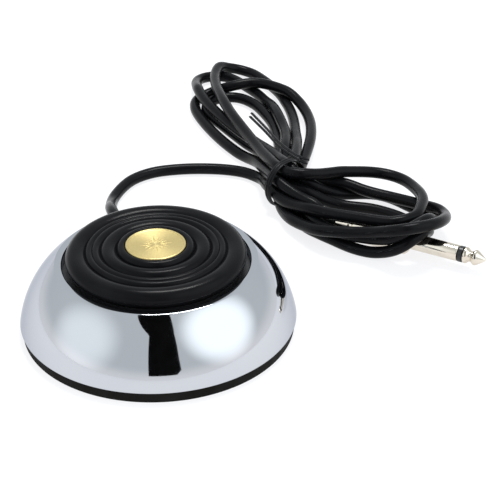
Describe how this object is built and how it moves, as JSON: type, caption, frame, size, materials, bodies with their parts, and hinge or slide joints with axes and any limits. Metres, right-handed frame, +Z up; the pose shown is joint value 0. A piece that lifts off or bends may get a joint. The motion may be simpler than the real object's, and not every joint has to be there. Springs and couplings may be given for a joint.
{
  "type": "foot switch pedal",
  "caption": "Round momentary foot pedal: a ribbed treadle floating in a flared plated bowl on a rubber pad, with a thin tied cord that ends in a jack plug.",
  "frame": {"origin": "on the surface the pedal stands on, under the middle of the round bowl", "axes": "+Z up, along the treadle's travel and the bowl's axis of rotation; +Y towards the side where the cord leaves; +X to the right"},
  "size_m": [0.1722, 0.262, 0.0341],
  "materials": {
    "chrome_plate": "mirror-bright decorative plating",
    "zinc_steel": "zinc-plated steel",
    "nickel_plate": "polished nickel plating",
    "brass": "spun, radially brushed",
    "black_plastic": "moulded, satin",
    "black_rubber": "moulded, satin",
    "cord_jacket": "smooth satin vinyl",
    "wire_jacket": "thin insulation"
  },
  "bodies": {
    "base": {"outer_shell": "chrome_plate", "base_pad": "black_rubber", "base_plate": "zinc_steel", "base_screw_1": "zinc_steel", "base_screw_2": "zinc_steel", "base_screw_3": "zinc_steel", "inner_frame": "black_plastic", "frame_screw_1": "zinc_steel", "frame_screw_2": "zinc_steel", "guide_post_1": "zinc_steel", "guide_post_2": "zinc_steel", "guide_post_3": "zinc_steel", "return_spring_1": "zinc_steel", "return_spring_2": "zinc_steel", "return_spring_3": "zinc_steel", "switch_bracket": "zinc_steel", "bracket_screw": "zinc_steel", "switch_case": "black_plastic", "switch_screw_1": "zinc_steel", "switch_screw_2": "zinc_steel", "switch_terminal_1": "brass", "switch_terminal_2": "brass", "switch_wire_1": "wire_jacket", "switch_wire_2": "black_plastic", "cord_gland": "black_rubber", "cord_tail": "cord_jacket", "cord_clamp": "black_plastic", "clamp_screw_1": "zinc_steel", "clamp_screw_2": "zinc_steel", "cord_lead": "cord_jacket", "cord_bundle_far": "cord_jacket", "cord_bundle_near": "cord_jacket", "cord_tie": "black_plastic", "plug_boot": "black_rubber", "plug_barrel": "nickel_plate", "plug_sleeve": "nickel_plate", "plug_insulator": "black_plastic", "plug_tip": "nickel_plate"},
    "treadle": {"tread_pad": "black_rubber", "medallion": "brass", "tread_carrier": "black_plastic", "actuator_pin": "black_plastic", "tread_screw_1": "zinc_steel", "tread_screw_2": "zinc_steel", "tread_screw_3": "zinc_steel"},
    "lever": {"switch_lever": "zinc_steel"},
    "button": {"switch_button": "wire_jacket"}
  },
  "joints": [
    {"name": "treadle_press", "type": "slide", "parent": "base", "child": "treadle", "axis": [0, 0, -1], "range_m": [0, 0.0025], "stiffness_N_per_m": 1500, "springref_m": -0.004, "deforming": ["return_spring_1", "return_spring_2", "return_spring_3"]},
    {"name": "lever_hinge", "type": "hinge", "parent": "base", "child": "lever", "pos_m": [-0.008, 0, 0.0164], "axis": [0, 1, 0], "range_deg": [0, 11]},
    {"name": "button_press", "type": "slide", "parent": "base", "child": "button", "axis": [0, 0, -1], "range_m": [0, 0.0009]}
  ],
  "couplings": [
    {"joint": "lever_hinge", "follows": "treadle_press", "rad_per_m": 76.1},
    {"joint": "button_press", "follows": "treadle_press", "ratio": 0.346}
  ]
}
